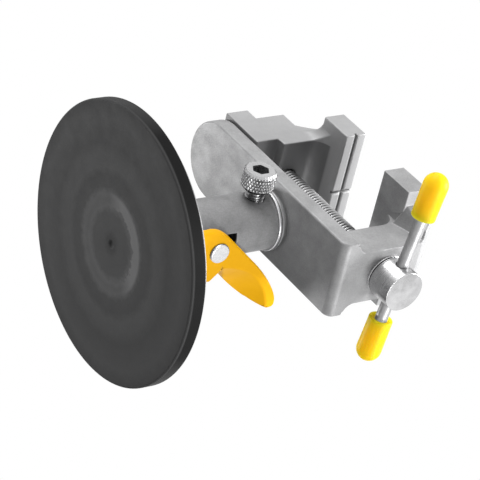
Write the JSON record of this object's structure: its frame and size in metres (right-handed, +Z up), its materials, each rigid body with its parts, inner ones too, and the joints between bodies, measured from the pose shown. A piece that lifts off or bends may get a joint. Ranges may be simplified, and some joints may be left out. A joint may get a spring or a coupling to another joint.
{
  "type": "suction base vise",
  "caption": "Small swivelling bench vise on a lever-operated rubber suction base, with a lead screw, a sliding handle bar, and a dovetail slide for its moving jaw.",
  "frame": {"origin": "centre of the suction pad's flat underside", "axes": "+Z up the post, +X along the lead screw towards its handle, +Y towards the raised cam lever"},
  "size_m": [0.0752, 0.07, 0.0764],
  "materials": {
    "black_rubber": "matt moulded rubber, faintly dusty",
    "cast_metal": "cast and blasted, machined on the clamping faces",
    "plain_steel": "turned steel",
    "bright_steel": "bright plated steel",
    "dark_steel": "dark spring steel",
    "lever_paint": "smooth amber yellow paint",
    "cap_vinyl": "glossy yellow dipped vinyl"
  },
  "bodies": {
    "base": {"suction_pad": "black_rubber", "base_casting": "cast_metal", "cam_ring": "bright_steel", "return_spring": "dark_steel", "thrust_washer": "bright_steel"},
    "plunger": {"plunger_rod": "plain_steel", "pad_insert": "plain_steel", "lever_pin": "bright_steel", "pin_retainer": "dark_steel"},
    "lever": {"cam_lever": "lever_paint"},
    "clamp": {"clamp_screw": "bright_steel"},
    "head": {"vise_frame": "cast_metal", "swivel_spigot": "plain_steel", "spigot_screw": "dark_steel", "head_washer": "bright_steel"},
    "jaw": {"moving_jaw": "cast_metal"},
    "screw": {"lead_screw": "plain_steel", "screw_circlip": "dark_steel"},
    "handle": {"tommy_bar": "plain_steel", "bar_cap_upper": "cap_vinyl", "bar_cap_lower": "cap_vinyl"}
  },
  "joints": [
    {"name": "plunger_lift", "type": "slide", "parent": "base", "child": "plunger", "axis": [0, 0, 1], "range_m": [0, 0.00255], "deforming": ["return_spring", "suction_pad"]},
    {"name": "lever_swing", "type": "hinge", "parent": "plunger", "child": "lever", "pos_m": [0, 0, 0.0247], "axis": [1, 0, 0], "range_deg": [-55, 0]},
    {"name": "clamp_turn", "type": "hinge", "parent": "base", "child": "clamp", "pos_m": [0, 0, 0.04], "axis": [0, -1, 0], "range_deg": [0, 180]},
    {"name": "head_swivel", "type": "hinge", "parent": "base", "child": "head", "pos_m": [0, 0, 0.0455], "axis": [0, 0, 1], "continuous": true},
    {"name": "screw_turn", "type": "hinge", "parent": "head", "child": "screw", "pos_m": [0.025, 0, 0.06155], "axis": [1, 0, 0], "range_deg": [-5760, 1764]},
    {"name": "jaw_slide", "type": "slide", "parent": "head", "child": "jaw", "axis": [1, 0, 0], "range_m": [-0.005, 0.0161]},
    {"name": "bar_slide", "type": "slide", "parent": "screw", "child": "handle", "axis": [0, -0.991, 0.134], "range_m": [-0.0133, 0.0043]}
  ],
  "couplings": [
    {"joint": "plunger_lift", "follows": "lever_swing", "m_per_rad": -0.0026},
    {"joint": "jaw_slide", "follows": "screw_turn", "m_per_rad": -0.00015915}
  ]
}
